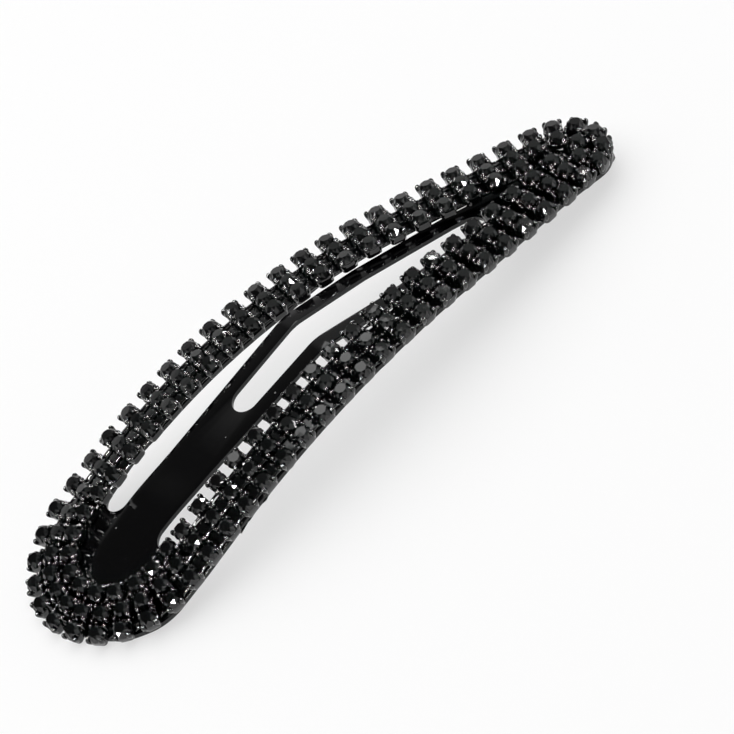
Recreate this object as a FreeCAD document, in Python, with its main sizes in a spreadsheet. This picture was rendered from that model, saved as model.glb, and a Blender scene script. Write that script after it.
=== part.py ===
import FreeCAD, Part
import math
import os
import Sketcher

# Snap hair clip (snap barrette): an arched spring-steel frame, a forked spring tongue under it and
# three rows of claw-set cup chain on top.  Millimetres, +Z up.
# Modelling axes: X runs from the tail (wide end) to the nose, X = 0 at the tail apex of the outer
# row of cups, +Y is the left arm and Z = 0 is the level of the stone tables at the top of the arch.
# Every object is then moved by one placement, so that the origin is the bottom centre of the clip.

doc = FreeCAD.newDocument("snap_hair_clip")
sizes = doc.addObject("Spreadsheet::Sheet", "sizes")

SIZES = [
    # plan of the outer row of cups: tail arc, straight shoulder, long side arc, nose arc
    ("loop_length", 80.8),
    ("loop_half_width", 11.5),
    ("shoulder_x", 13.6),
    ("nose_radius", 5.0),
    # arched surface that carries the stone tables: straight tail, arc, straight nose
    ("arch_radius", 81.9),
    ("arch_apex_x", 40.56),
    ("tail_slope", 16.6),
    ("nose_slope", 11.4),
    ("cross_radius", 60.0),
    # sheet
    ("sheet_thickness", 0.5),
    ("sheet_tail_inset", 0.8),
    ("sheet_tail_flat", 5.0),
    ("sheet_side_margin", 0.4),
    ("sheet_nose_inset", 0.1),
    ("arm_inset", 4.35),
    ("opening_nose_radius", 1.0),
    ("slot_end_radius", 1.6),
    ("slot_shoulder_x", 21.0),
    # tongue
    ("root_x", 14.6),
    ("root_gap", 0.05),
    ("tongue_width", 6.7),
    ("tongue_thickness", 0.5),
    ("crown_x", 40.5),
    ("crown_z", -1.15),
    ("toe_back", 19.3),
    ("toe_z", -5.26),
    ("tip_overhang", 0.2),
    ("tip_z", -10.26),
    ("widening_start_x", 22.0),
    ("taper_start_x", 50.0),
    ("taper_start_width", 8.3),
    ("tip_width", 4.6),
    ("tip_cut", 0.6),
    ("fork_start_x", 28.45),
    ("fork_start_width", 3.5),
    ("fork_wide_width", 4.34),
    ("fork_end_back", 16.3),
    ("fork_end_width", 2.6),
    # cup chain
    ("nose_ranks", 3),
    ("nose_rank_gap", 0.52),
    ("rank_gap", 1.04),
    ("rank_shift", -0.15),
    ("row_gap", 0.16),
    ("middle_nose_gap", 0.2),
    ("inner_tail_gap", 0.2),
    ("solder_gap", 0.03),
    ("cup_width", 2.18),
    ("cup_corner", 0.44),
    ("cup_height", 1.2),
    ("claw_height", 0.42),
    ("claw_reach", 0.32),
    ("stone_width", 1.98),
    ("stone_table", 1.2),
    ("stone_height", 0.6),
    ("seat_gap", 0.02),
    ("link_width", 0.5),
    ("link_thickness", 0.25),
    ("link_rise", 0.2),
    ("link_gap", 0.02),
    ("link_shortest", 0.06),
]

for row, (name, value) in enumerate(SIZES, start=1):
    sizes.set(f"A{row}", name)
    sizes.set(f"B{row}", str(value))
    sizes.setAlias(f"B{row}", name)
doc.recompute()


def size(name):
    return float(sizes.get(name))


# ---------------------------------------------------------------------------------------------
# Formulas shared by several sketches (bound as expressions, so they follow the sheet)
# ---------------------------------------------------------------------------------------------

# stone tables lie this far above the top face of the sheet
STACK = "(sizes.solder_gap + sizes.cup_height + sizes.seat_gap + sizes.stone_height)"
# radius of the long side arc, tangent to the straight shoulder and to the nose arc
SIDE_RADIUS = (
    "(((sizes.loop_length - sizes.nose_radius - sizes.shoulder_x)^2"
    " + sizes.loop_half_width^2 - sizes.nose_radius^2)"
    " / (2 * (sizes.loop_half_width - sizes.nose_radius)))"
)
# outline of the sheet: wider than the outer row at the shoulders, drawn in and blunt at the tail
SHEET_HALF_WIDTH = "(sizes.loop_half_width + sizes.sheet_side_margin)"
SHEET_SHOULDER_X = "(sizes.shoulder_x + sizes.sheet_tail_inset)"
TAIL_CORNER_RADIUS = f"({SHEET_HALF_WIDTH} - sizes.sheet_tail_flat / 2)"
NOSE_CENTRE_X = "(sizes.loop_length - sizes.nose_radius)"
SHEET_NOSE_RADIUS = "(sizes.nose_radius - sizes.sheet_nose_inset)"
SHEET_SIDE_RADIUS = (
    f"((({NOSE_CENTRE_X} - {SHEET_SHOULDER_X})^2 + {SHEET_HALF_WIDTH}^2 - {SHEET_NOSE_RADIUS}^2)"
    f" / (2 * ({SHEET_HALF_WIDTH} - {SHEET_NOSE_RADIUS})))"
)
# places along the tongue that keep their distance from the nose of the frame
TOE_X = "(sizes.loop_length - sizes.toe_back)"
TIP_X = "(sizes.loop_length + sizes.tip_overhang)"
FORK_END_X = "(sizes.loop_length - sizes.fork_end_back)"
# top face of the sheet where the tongue leaves the tail plate
ROOT_Z = (
    "(-sizes.arch_radius * (1 - cos(sizes.tail_slope))"
    " - (sizes.arch_apex_x - sizes.arch_radius * sin(sizes.tail_slope) - sizes.root_x)"
    " * tan(sizes.tail_slope) - " + STACK + " / cos(sizes.tail_slope))"
)


def value_of(formula):
    return float(sizes.evalExpression(formula))


def origin_item(body, role):
    return next(item for item in body.Origin.OriginFeatures if item.Role == role)


def new_body(label):
    body = doc.addObject("PartDesign::Body", label)
    body.Label = label
    return body


def new_sketch(body, label, plane="XY_Plane"):
    sketch = body.newObject("Sketcher::SketchObject", label)
    sketch.AttachmentSupport = [(origin_item(body, plane), "")]
    sketch.MapMode = "FlatFace"
    return sketch


def dimension(sketch, kind, refs, formula):
    """Add a dimension whose value is bound to the sizes sheet."""
    value = value_of(formula)
    if kind == "Angle":
        value = math.radians(value)
    index = sketch.addConstraint(Sketcher.Constraint(kind, *refs, value))
    sketch.setExpression(f"Constraints[{index}]", formula)


def join(sketch, kind, *refs):
    sketch.addConstraint(Sketcher.Constraint(kind, *refs))


def vector(x, y):
    return FreeCAD.Vector(x, y, 0)


def line(sketch, start, end):
    return sketch.addGeometry(Part.LineSegment(vector(*start), vector(*end)), False)


def arc(sketch, centre, radius, start, end):
    circle = Part.Circle(vector(*centre), FreeCAD.Vector(0, 0, 1), radius)
    return sketch.addGeometry(Part.ArcOfCircle(circle, start, end), False)


# how a sketch constraint names the sketch origin and the points of an edge
ORIGIN = (-1, 1)
START, END, CENTRE = range(1, 4)


def place_point(sketch, geometry, point, x_formula, y_formula):
    """Dimension one point of a sketch from the origin; "0" puts it on the axis (-1 is X, -2 is Y)."""
    for kind, axis, formula in (("DistanceX", -2, x_formula), ("DistanceY", -1, y_formula)):
        if formula == "0":
            join(sketch, "PointOnObject", geometry, point, axis)
        else:
            dimension(sketch, kind, (*ORIGIN, geometry, point), formula)


def draw_frame_rectangle(sketch, margin):
    """Rectangle well outside the clip, drawn round an outline that is to be left standing."""
    x0 = -margin
    x1 = size("loop_length") + margin
    y1 = size("loop_half_width") + margin
    corners = [(x0, -y1), (x1, -y1), (x1, y1), (x0, y1)]
    sides = [line(sketch, corners[i], corners[(i + 1) % 4]) for i in range(4)]
    for i, side in enumerate(sides):
        join(sketch, "Coincident", side, END, sides[(i + 1) % 4], START)
        join(sketch, "Vertical" if i % 2 else "Horizontal", side)
    beyond_nose = f"sizes.loop_length + {margin}"
    beyond_arm = f"sizes.loop_half_width + {margin}"
    place_point(sketch, sides[0], START, f"-{margin}", f"-({beyond_arm})")
    place_point(sketch, sides[2], START, beyond_nose, beyond_arm)


def draw_sheet_outline(sketch):
    """Leaf-shaped outline of the sheet: blunt tail, round corners, side arcs and nose arc."""
    half = value_of(SHEET_HALF_WIDTH)
    nose_r = value_of(SHEET_NOSE_RADIUS)
    nose_x = value_of(NOSE_CENTRE_X)
    shoulder = value_of(SHEET_SHOULDER_X)
    side_r = value_of(SHEET_SIDE_RADIUS)
    corner_r = value_of(TAIL_CORNER_RADIUS)
    tail_x = size("sheet_tail_inset")
    corner_x = tail_x + corner_r
    flat = size("sheet_tail_flat") / 2
    turn = math.atan2(side_r - half, nose_x - shoulder)
    nose_arc = arc(sketch, (nose_x, 0), nose_r, -turn, turn)
    left_side = arc(sketch, (shoulder, half - side_r), side_r, turn, math.pi / 2)
    left_line = line(sketch, (shoulder, half), (corner_x, half))
    left_corner = arc(sketch, (corner_x, flat), corner_r, math.pi / 2, math.pi)
    tail_end = line(sketch, (tail_x, flat), (tail_x, -flat))
    right_corner = arc(sketch, (corner_x, -flat), corner_r, math.pi, 1.5 * math.pi)
    right_line = line(sketch, (corner_x, -half), (shoulder, -half))
    right_side = arc(sketch, (shoulder, side_r - half), side_r, -math.pi / 2, -turn)
    chain = [(nose_arc, END, left_side, START), (left_side, END, left_line, START),
             (left_line, END, left_corner, START), (left_corner, END, tail_end, START),
             (tail_end, END, right_corner, START), (right_corner, END, right_line, START),
             (right_line, END, right_side, START), (right_side, END, nose_arc, START)]
    for pair in chain:
        join(sketch, "Tangent", *pair)
    join(sketch, "Horizontal", left_line)
    join(sketch, "Horizontal", right_line)
    place_point(sketch, nose_arc, CENTRE, NOSE_CENTRE_X, "0")
    dimension(sketch, "Radius", (nose_arc,), SHEET_NOSE_RADIUS)
    corner_place = f"sizes.sheet_tail_inset + {TAIL_CORNER_RADIUS}"
    for side_sign, corner in ((1, left_corner), (-1, right_corner)):
        place_point(sketch, corner, CENTRE, corner_place, f"{side_sign} * sizes.sheet_tail_flat / 2")
        dimension(sketch, "Radius", (corner,), TAIL_CORNER_RADIUS)
    dimension(sketch, "DistanceX", (*ORIGIN, left_line, START), SHEET_SHOULDER_X)
    dimension(sketch, "DistanceX", (*ORIGIN, right_line, END), SHEET_SHOULDER_X)


def cut_through(body, sketch, label):
    pocket = body.newObject("PartDesign::Pocket", label)
    pocket.Profile = sketch
    pocket.Type = "ThroughAll"
    doc.recompute()
    return pocket


# ---------------------------------------------------------------------------------------------
# Spring frame: arched sheet with a solid tail plate, two side slots and a long opening
# ---------------------------------------------------------------------------------------------

frame = new_body("spring_frame")

spine = new_sketch(frame, "frame_spine", "XZ_Plane")
arch = size("arch_radius")
apex = size("arch_apex_x")
stack = value_of(STACK)
tail_slope = math.radians(size("tail_slope"))
nose_slope = math.radians(size("nose_slope"))
SPINE_MARGIN = 3.0


def spine_point(angle, beyond=0.0):
    """Point of the sheet's top centreline; angle is measured from the apex, + to the nose."""
    x = apex + (arch - stack) * math.sin(angle) + math.copysign(beyond, angle) * math.cos(angle)
    z = (arch - stack) * math.cos(angle) - arch - beyond * math.sin(abs(angle))
    return (x, z)


tail_run = spine_point(-tail_slope)[0] + SPINE_MARGIN
nose_run = size("loop_length") - spine_point(nose_slope)[0] + SPINE_MARGIN
tail_line = line(spine, spine_point(-tail_slope, tail_run / math.cos(tail_slope)), spine_point(-tail_slope))
top_arc = arc(spine, (apex, -arch), arch - stack, math.pi / 2 - nose_slope, math.pi / 2 + tail_slope)
nose_line = line(spine, spine_point(nose_slope), spine_point(nose_slope, nose_run / math.cos(nose_slope)))
join(spine, "Tangent", tail_line, END, top_arc, END)
join(spine, "Tangent", top_arc, START, nose_line, START)
place_point(spine, top_arc, CENTRE, "sizes.arch_apex_x", "-sizes.arch_radius")
dimension(spine, "Radius", (top_arc,), "sizes.arch_radius - " + STACK)
dimension(spine, "Angle", (tail_line,), "sizes.tail_slope")
dimension(spine, "Angle", (nose_line,), "-sizes.nose_slope")
dimension(spine, "DistanceX", (*ORIGIN, tail_line, START), f"-{SPINE_MARGIN}")
dimension(spine, "DistanceX", (*ORIGIN, nose_line, END), f"sizes.loop_length + {SPINE_MARGIN}")
doc.recompute()

# the section stands square on the tail end of the spine, its own +Y along the sheet's normal
section = frame.newObject("Sketcher::SketchObject", "frame_section")
section.AttachmentSupport = [(spine, "Edge1")]
section.MapMode = "NormalToEdge"
section.MapPathParameter = 0.0
SECTION_MARGIN = 1.5
cross = size("cross_radius") - stack
section_half = size("loop_half_width") + SECTION_MARGIN


def section_arc(radius):
    spread = math.asin(section_half / radius)
    return arc(section, (0, -cross), radius, math.pi / 2 - spread, math.pi / 2 + spread)


def section_level(radius):
    return math.sqrt(radius ** 2 - section_half ** 2) - cross


under = cross - size("sheet_thickness")
top_face = section_arc(cross)
under_face = section_arc(under)
left_end = line(section, (-section_half, section_level(cross)), (-section_half, section_level(under)))
right_end = line(section, (section_half, section_level(under)), (section_half, section_level(cross)))
join(section, "Coincident", top_face, END, left_end, START)
join(section, "Coincident", left_end, END, under_face, END)
join(section, "Coincident", under_face, START, right_end, START)
join(section, "Coincident", right_end, END, top_face, START)
join(section, "Coincident", top_face, CENTRE, under_face, CENTRE)
place_point(section, top_face, CENTRE, "0", "-(sizes.cross_radius - " + STACK + ")")
dimension(section, "Radius", (top_face,), "sizes.cross_radius - " + STACK)
dimension(section, "Radius", (under_face,), "sizes.cross_radius - " + STACK + " - sizes.sheet_thickness")
for end, side_sign in ((left_end, -1), (right_end, 1)):
    for point in (START, END):
        dimension(section, "DistanceX", (*ORIGIN, end, point),
                  f"{side_sign} * (sizes.loop_half_width + {SECTION_MARGIN})")
doc.recompute()

sheet = frame.newObject("PartDesign::AdditivePipe", "arched_sheet")
sheet.Profile = section
sheet.Spine = (spine, ["Edge1", "Edge2", "Edge3"])
sheet.Mode = "Standard"
doc.recompute()

TRIM_MARGIN = 8.0
frame_outline = new_sketch(frame, "frame_outline")
draw_frame_rectangle(frame_outline, TRIM_MARGIN)
draw_sheet_outline(frame_outline)
doc.recompute()
cut_through(frame, frame_outline, "outline_cut")

# one opening: root line of the tongue, a round slot end on each side of it, arm edges, nose end
opening = new_sketch(frame, "frame_opening")
root_x = size("root_x")
root_half = size("tongue_width") / 2
slot_r = size("slot_end_radius")
slot_y = root_half + slot_r
shoulder_x = size("slot_shoulder_x")
arc_x = size("shoulder_x")
arc_y = size("loop_half_width") - value_of(SIDE_RADIUS)
arm_r = value_of(SIDE_RADIUS) - size("arm_inset")
nose_r = size("opening_nose_radius")
nose_end_x = arc_x + math.sqrt((arm_r - nose_r) ** 2 - arc_y ** 2)
arm_end = math.atan2(-arc_y, nose_end_x - arc_x)
arm_start = math.acos((shoulder_x - arc_x) / arm_r)
arm_start_y = arc_y + arm_r * math.sin(arm_start)
to_shoulder = (shoulder_x - root_x, arm_start_y - slot_y)
away = math.atan2(to_shoulder[1], to_shoulder[0])
touch = away + math.acos(slot_r / math.hypot(*to_shoulder))

root_line = line(opening, (root_x, -root_half), (root_x, root_half))
left_slot = arc(opening, (root_x, slot_y), slot_r, touch, 1.5 * math.pi)
touch_point = (root_x + slot_r * math.cos(touch), slot_y + slot_r * math.sin(touch))
left_edge = line(opening, touch_point, (shoulder_x, arm_start_y))
left_arm = arc(opening, (arc_x, arc_y), arm_r, arm_end, arm_start)
nose_end = arc(opening, (nose_end_x, 0), nose_r, -arm_end, arm_end)
right_arm = arc(opening, (arc_x, -arc_y), arm_r, -arm_start, -arm_end)
right_edge = line(opening, (shoulder_x, -arm_start_y), (touch_point[0], -touch_point[1]))
right_slot = arc(opening, (root_x, -slot_y), slot_r, math.pi / 2, 2 * math.pi - touch)
join(opening, "Coincident", root_line, END, left_slot, END)
join(opening, "Tangent", left_slot, START, left_edge, START)
join(opening, "Coincident", left_edge, END, left_arm, END)
join(opening, "Tangent", left_arm, START, nose_end, END)
join(opening, "Tangent", nose_end, START, right_arm, END)
join(opening, "Coincident", right_arm, START, right_edge, START)
join(opening, "Tangent", right_edge, END, right_slot, END)
join(opening, "Coincident", right_slot, START, root_line, START)
for side_sign, slot, arm, edge, edge_point in (
        (1, left_slot, left_arm, left_edge, END), (-1, right_slot, right_arm, right_edge, START)):
    place_point(opening, slot, CENTRE, "sizes.root_x",
                f"{side_sign} * (sizes.tongue_width / 2 + sizes.slot_end_radius)")
    dimension(opening, "Radius", (slot,), "sizes.slot_end_radius")
    place_point(opening, arm, CENTRE, "sizes.shoulder_x",
                f"{side_sign} * (sizes.loop_half_width - {SIDE_RADIUS})")
    dimension(opening, "Radius", (arm,), f"{SIDE_RADIUS} - sizes.arm_inset")
    dimension(opening, "DistanceX", (*ORIGIN, edge, edge_point), "sizes.slot_shoulder_x")
dimension(opening, "Radius", (nose_end,), "sizes.opening_nose_radius")
dimension(opening, "DistanceX", (*ORIGIN, root_line, START), "sizes.root_x")
dimension(opening, "DistanceX", (*ORIGIN, root_line, END), "sizes.root_x")
doc.recompute()
cut_through(frame, opening, "opening_cut")

# ---------------------------------------------------------------------------------------------
# Spring tongue: flat strip bent at the crown and at the toe, forked in the middle, rounded tip
# ---------------------------------------------------------------------------------------------

tongue = new_body("spring_tongue")
profile = new_sketch(tongue, "tongue_profile", "XZ_Plane")
bends = [
    ("sizes.root_x + sizes.root_gap", ROOT_Z),
    ("sizes.crown_x", "sizes.crown_z"),
    (TOE_X, "sizes.toe_z"),
    (TIP_X, "sizes.tip_z"),
]
top_points = [(value_of(x), value_of(z)) for x, z in bends]
tongue_t = size("tongue_thickness")
slopes = [math.atan2(b[1] - a[1], b[0] - a[0]) for a, b in zip(top_points, top_points[1:])]


def mitre(point, before, after):
    """Under-side corner that keeps the strip's thickness on both sides of a bend."""
    middle = (before + after) / 2
    drop = tongue_t / math.cos((after - before) / 2)
    return (point[0] + drop * math.sin(middle), point[1] - drop * math.cos(middle))


first_x, first_z = top_points[0]
under_points = [(first_x, first_z - tongue_t / math.cos(slopes[0]))]
under_points += [mitre(p, a, b) for p, a, b in zip(top_points[1:3], slopes, slopes[1:])]
under_points.append(mitre(top_points[3], slopes[2], slopes[2]))
top_lines = [line(profile, a, b) for a, b in zip(top_points, top_points[1:])]
under_lines = [line(profile, a, b) for a, b in zip(under_points, under_points[1:])]
root_face = line(profile, under_points[0], top_points[0])
tip_face = line(profile, top_points[3], under_points[3])
for lines in (top_lines, under_lines):
    for a, b in zip(lines, lines[1:]):
        join(profile, "Coincident", a, END, b, START)
join(profile, "Coincident", root_face, START, under_lines[0], START)
join(profile, "Coincident", root_face, END, top_lines[0], START)
join(profile, "Coincident", tip_face, START, top_lines[2], END)
join(profile, "Coincident", tip_face, END, under_lines[2], END)
join(profile, "Vertical", root_face)
join(profile, "Perpendicular", tip_face, top_lines[2])
for top, below in zip(top_lines, under_lines):
    join(profile, "Parallel", top, below)
    dimension(profile, "Distance", (below, START, top), "sizes.tongue_thickness")
for i, (x, z) in enumerate(bends):
    where = (top_lines[i], START) if i < 3 else (top_lines[2], END)
    place_point(profile, *where, x, z)
doc.recompute()

strip = tongue.newObject("PartDesign::Pad", "tongue_strip")
strip.Profile = profile
strip.SideType = "Symmetric"
strip.setExpression("Length", "sizes.taper_start_width")
doc.recompute()


def draw_strip(sketch, breadths, end_x, end_width):
    """Strip outline through (x, width) pairs, then a taper to a round end; open at its start."""
    corners = [(value_of(x), value_of(width) / 2) for x, width in breadths]
    end_r = value_of(end_width) / 2
    centre_x = value_of(end_x) - end_r
    taper_x, half = corners[-1]
    taper_run = centre_x - taper_x
    angle = math.pi - math.atan2(half, taper_run) - math.acos(end_r / math.hypot(taper_run, half))
    corners.append((centre_x + end_r * math.cos(angle), end_r * math.sin(angle)))
    left = [line(sketch, a, b) for a, b in zip(corners, corners[1:])]
    right = [line(sketch, (b[0], -b[1]), (a[0], -a[1])) for a, b in zip(corners, corners[1:])]
    end = arc(sketch, (centre_x, 0), end_r, -angle, angle)
    for i in range(len(breadths) - 1):
        join(sketch, "Coincident", left[i], END, left[i + 1], START)
        join(sketch, "Coincident", right[i + 1], END, right[i], START)
    join(sketch, "Tangent", left[-1], END, end, END)
    join(sketch, "Tangent", end, START, right[-1], START)
    for (x, width), left_side, right_side in zip(breadths, left, right):
        place_point(sketch, left_side, START, x, f"{width} / 2")
        place_point(sketch, right_side, END, x, f"-{width} / 2")
    place_point(sketch, end, CENTRE, f"{end_x} - {end_width} / 2", "0")
    dimension(sketch, "Radius", (end,), f"{end_width} / 2")
    return left[0], right[0]


# the outline runs past the strip's straight end, which so keeps a short flat between round corners
trim = new_sketch(tongue, "tongue_outline")
draw_frame_rectangle(trim, TRIM_MARGIN)
ROOT_MARGIN = 1.0
outline_left, outline_right = draw_strip(
    trim,
    [(f"(sizes.root_x - {ROOT_MARGIN})", "sizes.tongue_width"),
     ("sizes.widening_start_x", "sizes.tongue_width"),
     ("sizes.taper_start_x", "sizes.taper_start_width")],
    f"{TIP_X} + sizes.tip_cut", "sizes.tip_width")
trim_x = root_x - ROOT_MARGIN
root_edge = line(trim, (trim_x, -root_half), (trim_x, root_half))
join(trim, "Coincident", root_edge, START, outline_right, END)
join(trim, "Coincident", root_edge, END, outline_left, START)
doc.recompute()
cut_through(tongue, trim, "tongue_trim")

fork = new_sketch(tongue, "fork_slot")
fork_left, fork_right = draw_strip(
    fork,
    [("(sizes.fork_start_x + sizes.fork_start_width / 2)", "sizes.fork_start_width"),
     ("sizes.taper_start_x", "sizes.fork_wide_width")],
    FORK_END_X, "sizes.fork_end_width")
fork_half = size("fork_start_width") / 2
fork_x = size("fork_start_x") + fork_half
fork_round = arc(fork, (fork_x, 0), fork_half, math.pi / 2, 1.5 * math.pi)
join(fork, "Tangent", fork_round, START, fork_left, START)
join(fork, "Coincident", fork_round, END, fork_right, END)
doc.recompute()
cut_through(tongue, fork, "fork_cut")

# ---------------------------------------------------------------------------------------------
# Cup chain: one cup with four claws and one stone are modelled, then set along the three rows
# ---------------------------------------------------------------------------------------------


def draw_octagon(sketch, width, corner):
    """Square of the given width with its corners cut back by the given length."""
    half = f"({width}) / 2"
    inner = f"(({width}) / 2 - ({corner}))"
    places = [(half, f"-{inner}"), (half, inner), (inner, half), (f"-{inner}", half),
              (f"-({half})", inner), (f"-({half})", f"-{inner}"), (f"-{inner}", f"-({half})"),
              (inner, f"-({half})")]
    points = [(value_of(x), value_of(y)) for x, y in places]
    edges = [line(sketch, points[i], points[(i + 1) % 8]) for i in range(8)]
    for i, edge in enumerate(edges):
        join(sketch, "Coincident", edge, END, edges[(i + 1) % 8], START)
        place_point(sketch, edge, START, *places[i])


cup = new_body("cup_master")
cup_plan = new_sketch(cup, "cup_plan")
draw_octagon(cup_plan, "sizes.cup_width", "sizes.cup_corner")
cup_block = cup.newObject("PartDesign::Pad", "cup_block")
cup_block.Profile = cup_plan
cup_block.setExpression("Length", "sizes.cup_height")
doc.recompute()
claw_root = new_sketch(cup, "claw_root")
claw_root.setExpression("AttachmentOffset.Base.z", "sizes.cup_height")
wall = "sizes.cup_width / 2"
corner = "(sizes.cup_width / 2 - sizes.cup_corner)"
claw_back = "((sizes.stone_width / 2 + sizes.seat_gap) / sqrt(2))"
root_places = [(wall, corner), (corner, wall), (claw_back, claw_back)]
root_points = [(value_of(x), value_of(y)) for x, y in root_places]
root_edges = [line(claw_root, root_points[i], root_points[(i + 1) % 3]) for i in range(3)]
for i, edge in enumerate(root_edges):
    join(claw_root, "Coincident", edge, END, root_edges[(i + 1) % 3], START)
    place_point(claw_root, edge, START, *root_places[i])
claw_tip = new_sketch(cup, "claw_tip")
claw_tip.setExpression("AttachmentOffset.Base.z", "sizes.cup_height + sizes.claw_height")
tip_place = "((sizes.cup_width - sizes.cup_corner) / 2 - sizes.claw_reach / sqrt(2))"
tip_point = claw_tip.addGeometry(Part.Point(vector(value_of(tip_place), value_of(tip_place))))
place_point(claw_tip, tip_point, START, tip_place, tip_place)
doc.recompute()
claw = cup.newObject("PartDesign::AdditiveLoft", "claw")
claw.Profile = claw_root
claw.Sections = [(claw_tip, ["Vertex1"])]
claw.Ruled = True
doc.recompute()
claws = cup.newObject("PartDesign::PolarPattern", "claws")
claws.Originals = [claw]
claws.Axis = (origin_item(cup, "Z_Axis"), [""])
claws.Angle = 360
claws.Occurrences = 4
cup.Tip = claws
doc.recompute()

stone = new_body("stone_master")
stone_plan = new_sketch(stone, "stone_plan")
draw_octagon(stone_plan, "sizes.stone_width", "sizes.stone_width * (1 - sqrt(2) / 2)")
stone_blank = stone.newObject("PartDesign::Pad", "stone_blank")
stone_blank.Profile = stone_plan
stone_blank.setExpression("Length", "sizes.stone_height")
doc.recompute()
faces = list(enumerate(stone_blank.Shape.Faces, start=1))
facets = stone.newObject("PartDesign::Draft", "crown_facets")
facets.Base = (stone_blank, [f"Face{i}" for i, face in faces if abs(face.normalAt(0, 0).z) < 0.5])
facets.NeutralPlane = (stone_blank, [f"Face{i}" for i, face in faces if face.normalAt(0, 0).z < -0.5])
facets.setExpression("Angle", "atan((sizes.stone_width - sizes.stone_table) / 2 / sizes.stone_height)")
doc.recompute()

# ---------------------------------------------------------------------------------------------
# Where the cups stand: every rank of three cups stands square to the outer row's path
# ---------------------------------------------------------------------------------------------

half_width = size("loop_half_width")
nose_radius = size("nose_radius")
nose_centre = size("loop_length") - nose_radius
shoulder = size("shoulder_x")
side_radius = value_of(SIDE_RADIUS)
side_turn = math.atan2(side_radius - half_width, nose_centre - shoulder)
cross_radius = size("cross_radius")
cup_width = size("cup_width")
PATH_STEP = 0.1
SLOPE_STEP = 0.01


def table_surface(x, y):
    """Height of the arched surface that carries the stone tables."""
    tail_x = apex - arch * math.sin(tail_slope)
    nose_x = apex + arch * math.sin(nose_slope)
    bent_x = min(max(x, tail_x), nose_x)
    lean = math.asin((bent_x - apex) / arch)
    level = arch * math.cos(lean) - arch - abs(x - bent_x) * math.tan(abs(lean))
    sag = cross_radius - math.sqrt(cross_radius ** 2 - y ** 2)
    return level - sag / math.cos(lean)


def surface_normal(x, y):
    slope_x = (table_surface(x + SLOPE_STEP, y) - table_surface(x - SLOPE_STEP, y)) / (2 * SLOPE_STEP)
    slope_y = (table_surface(x, y + SLOPE_STEP) - table_surface(x, y - SLOPE_STEP)) / (2 * SLOPE_STEP)
    return FreeCAD.Vector(-slope_x, -slope_y, 1).normalize()


def outer_path():
    """Outer row's path, closed: (x, y, outward angle), from the nose apex round by the left arm."""
    arcs = [((nose_centre, 0), nose_radius, 0, side_turn),
            ((shoulder, half_width - side_radius), side_radius, side_turn, math.pi / 2),
            ((half_width, 0), half_width, math.pi / 2, math.pi)]
    left = []
    for (cx, cy), radius, first, last in arcs:
        count = math.ceil(radius * (last - first) / PATH_STEP)
        for i in range(count + 1):
            a = first + (last - first) * i / count
            left.append((cx + radius * math.cos(a), cy + radius * math.sin(a), a))
    right = [(x, -y, 2 * math.pi - a) for x, y, a in reversed(left)]
    return left + right[1:]


PATH = outer_path()


def row_point(row, station):
    """Table point of a row at a place on the path; rows step inwards along the surface."""
    x, y, angle = station
    ahead = table_surface(x - SLOPE_STEP * math.cos(angle), y - SLOPE_STEP * math.sin(angle))
    rise = (ahead - table_surface(x, y)) / SLOPE_STEP
    inward = row * (cup_width + size("row_gap")) / math.hypot(1, rise)
    row_x = x - inward * math.cos(angle)
    row_y = y - inward * math.sin(angle)
    return FreeCAD.Vector(row_x, row_y, table_surface(row_x, row_y))


def row_lengths(row):
    """Length along a row from the nose apex to every point of the path."""
    points = [row_point(row, station) for station in PATH]
    total = [0.0]
    for a, b in zip(points, points[1:]):
        total.append(total[-1] + a.distanceToPoint(b))
    return total


lengths = [row_lengths(row) for row in range(3)]
loop_turn = lengths[0][-1]


def path_place(row, length):
    """Index and share of the path step that holds a length along a row."""
    table = lengths[row]
    i = next(k for k in range(1, len(table)) if table[k] >= length)
    step_length = table[i] - table[i - 1]
    return i, (length - table[i - 1]) / step_length if step_length else 0


def station_at(row, length):
    """Place on the path at a length along a row, counted from the nose apex."""
    i, share = path_place(row, length % lengths[row][-1])
    return tuple(a + (b - a) * share for a, b in zip(PATH[i - 1], PATH[i]))


def length_of(row, outer_length):
    """Length along a row that belongs to a length along the outer row."""
    turns = math.floor(outer_length / loop_turn)
    i, share = path_place(0, outer_length - turns * loop_turn)
    before, after = lengths[row][i - 1:i + 1]
    return before + share * (after - before) + turns * lengths[row][-1]


def rank_lengths():
    """Outer-row lengths of all ranks: close round the nose, even along the rest."""
    near = int(size("nose_ranks"))
    near_pitch = cup_width + size("nose_rank_gap")
    far_run = loop_turn / 2 - near * near_pitch
    far = math.floor(far_run / (cup_width + size("rank_gap")))
    left = [i * near_pitch for i in range(near)]
    left += [near * near_pitch + i * far_run / far for i in range(far + 1)]
    right = [loop_turn - s for s in reversed(left[1:-1])]
    return [s + size("rank_shift") for s in left + right]


def even_run(row, first, last, gap):
    """Stations strictly between two outer-row lengths, evenly spaced, at least gap between cups."""
    start, stop = length_of(row, first), length_of(row, last)
    count = math.floor((stop - start) / (cup_width + gap))
    return [station_at(row, start + (stop - start) * i / count) for i in range(1, count)]


ranks = rank_lengths()
rank_stations = [station_at(0, s) for s in ranks]
# ranks that hold a middle cup, and the sides' ranks, which hold an inner cup too
first_rank = int(size("nose_ranks")) + 1
last_rank = len(ranks) - first_rank
side_ranks = [i for i in range(first_rank, last_rank + 1) if rank_stations[i][0] > shoulder]
last_left = max(i for i in side_ranks if rank_stations[i][1] > 0)
first_right = min(i for i in side_ranks if rank_stations[i][1] < 0)
middle_nose = even_run(1, ranks[last_rank] - loop_turn, ranks[first_rank], size("middle_nose_gap"))
inner_tail = even_run(2, ranks[last_left], ranks[first_right], size("inner_tail_gap"))
nose_half = len(middle_nose) // 2
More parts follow.
